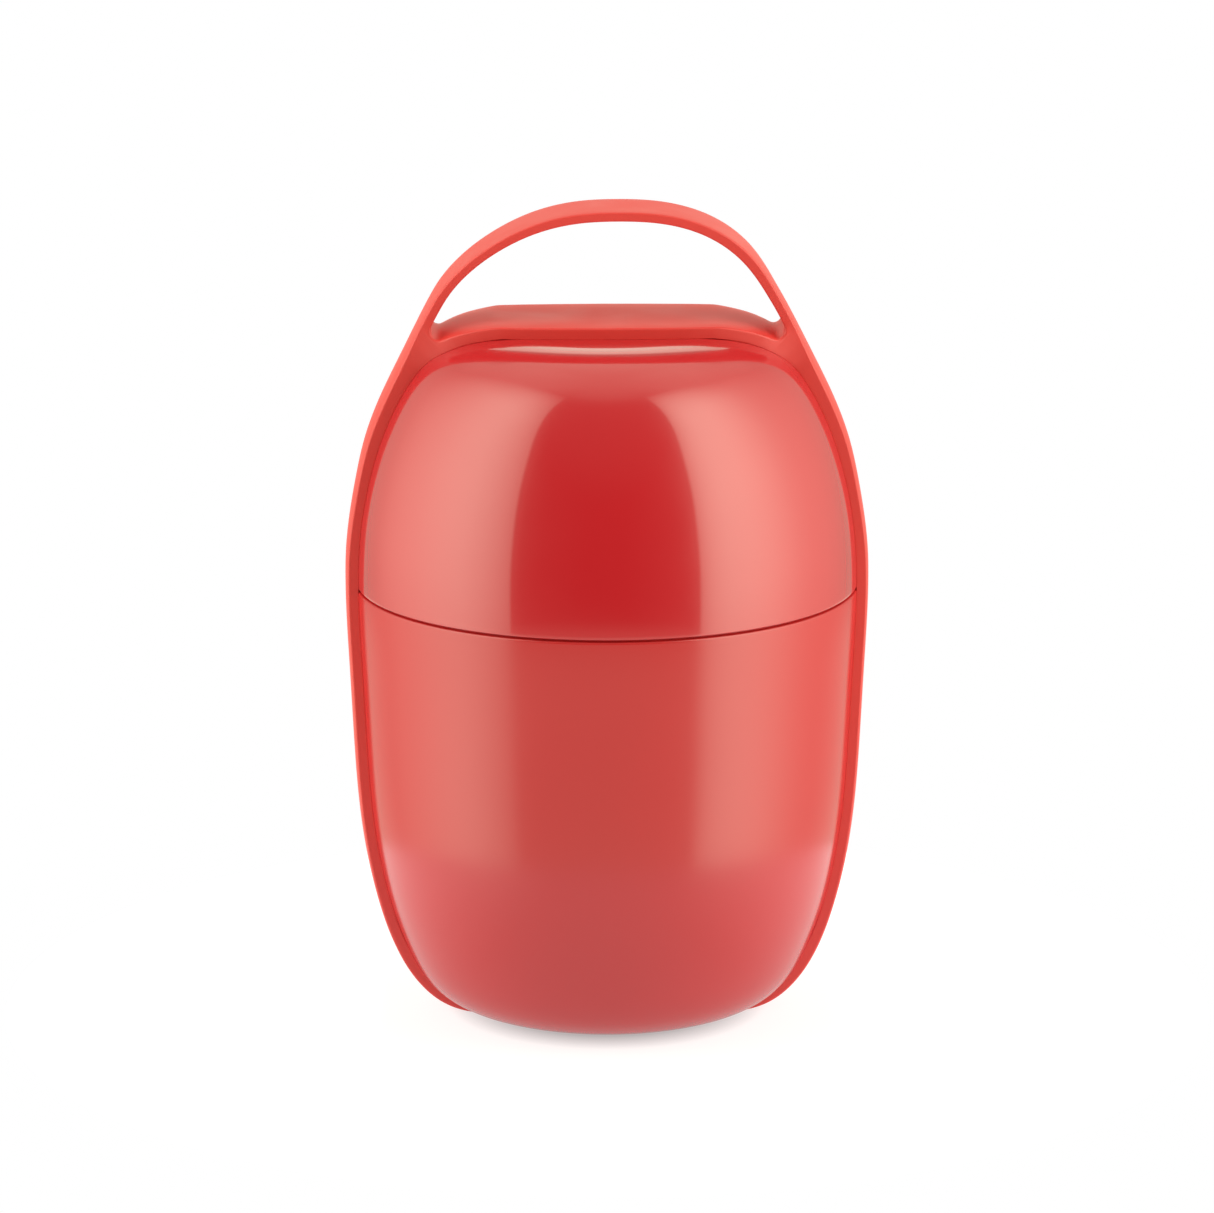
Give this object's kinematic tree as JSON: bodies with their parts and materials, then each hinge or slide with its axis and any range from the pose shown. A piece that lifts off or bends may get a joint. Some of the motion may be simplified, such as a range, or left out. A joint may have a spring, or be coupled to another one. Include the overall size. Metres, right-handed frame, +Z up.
{
  "type": "personal lunch pot",
  "caption": "Rounded personal lunch pot with a domed lid, an elastic carrying strap with a loop handle, and a stacked bowl and divided tray with sealing lids inside.",
  "frame": {"origin": "on the floor, at the middle of the base, on the axis the pot and lid are turned about", "axes": "+Z up; the strap lies in the XZ plane; the front is at -Y"},
  "size_m": [0.1288, 0.1236, 0.202],
  "materials": {
    "lid_gloss": "high gloss",
    "pot_matte": "fine satin",
    "inner_red": "satin",
    "strap_red": "matte elastomer",
    "keeper_red": "satin",
    "pad_grey": "matte",
    "bowl_white": "satin",
    "lid_frost": "frosted",
    "seal_grey": "matte silicone",
    "seal_red": "matte silicone"
  },
  "bodies": {
    "pot": {"pot_shell": "pot_matte", "pot_liner": "inner_red", "rim_gasket": "seal_grey", "foot_pad_front": "pad_grey", "foot_pad_back": "pad_grey", "strap_sling": "strap_red", "strap_keeper": "keeper_red"},
    "strap": {"strap_handle": "strap_red"},
    "lid": {"lid_shell": "lid_gloss", "lid_liner": "inner_red"},
    "tray_cover": {"tray_lid": "lid_frost", "tray_gasket": "seal_grey"},
    "divider": {"tray_divider": "bowl_white"},
    "tray_dish": {"tray": "bowl_white"},
    "bowl_cover": {"bowl_lid": "lid_frost", "bowl_gasket": "seal_grey"},
    "vent": {"vent_plug": "seal_red"},
    "food_bowl": {"bowl": "bowl_white"}
  },
  "joints": [
    {"name": "lid_lift", "type": "slide", "parent": "pot", "child": "lid", "axis": [0, 0, 1], "range_m": [0, 0.26]},
    {"name": "strap_swing", "type": "hinge", "parent": "pot", "child": "strap", "pos_m": [0, 0.004, 0.1083], "axis": [-1, 0, 0], "range_deg": [0, 120.01], "deforming": ["strap_handle"]},
    {"name": "tray_lid_lift", "type": "slide", "parent": "pot", "child": "tray_cover", "axis": [0, 0, 1], "range_m": [0, 0.2081]},
    {"name": "divider_lift", "type": "slide", "parent": "pot", "child": "divider", "axis": [0, 0, 1], "range_m": [0, 0.1821]},
    {"name": "tray_lift", "type": "slide", "parent": "pot", "child": "tray_dish", "axis": [0, 0, 1], "range_m": [0, 0.1613]},
    {"name": "bowl_lid_lift", "type": "slide", "parent": "pot", "child": "bowl_cover", "axis": [0, 0, 1], "range_m": [0, 0.1301]},
    {"name": "bowl_lift", "type": "slide", "parent": "pot", "child": "food_bowl", "axis": [0, 0, 1], "range_m": [0, 0.1171]},
    {"name": "vent_pull", "type": "slide", "parent": "bowl_cover", "child": "vent", "axis": [0, 0, 1], "range_m": [0, 0.003]}
  ],
  "couplings": [
    {"joint": "strap_swing", "follows": "lid_lift", "rad_per_m": 8.0554},
    {"joint": "tray_lid_lift", "follows": "lid_lift", "ratio": 0.8},
    {"joint": "divider_lift", "follows": "lid_lift", "ratio": 0.7},
    {"joint": "tray_lift", "follows": "lid_lift", "ratio": 0.62},
    {"joint": "bowl_lid_lift", "follows": "lid_lift", "ratio": 0.5},
    {"joint": "bowl_lift", "follows": "lid_lift", "ratio": 0.45}
  ]
}
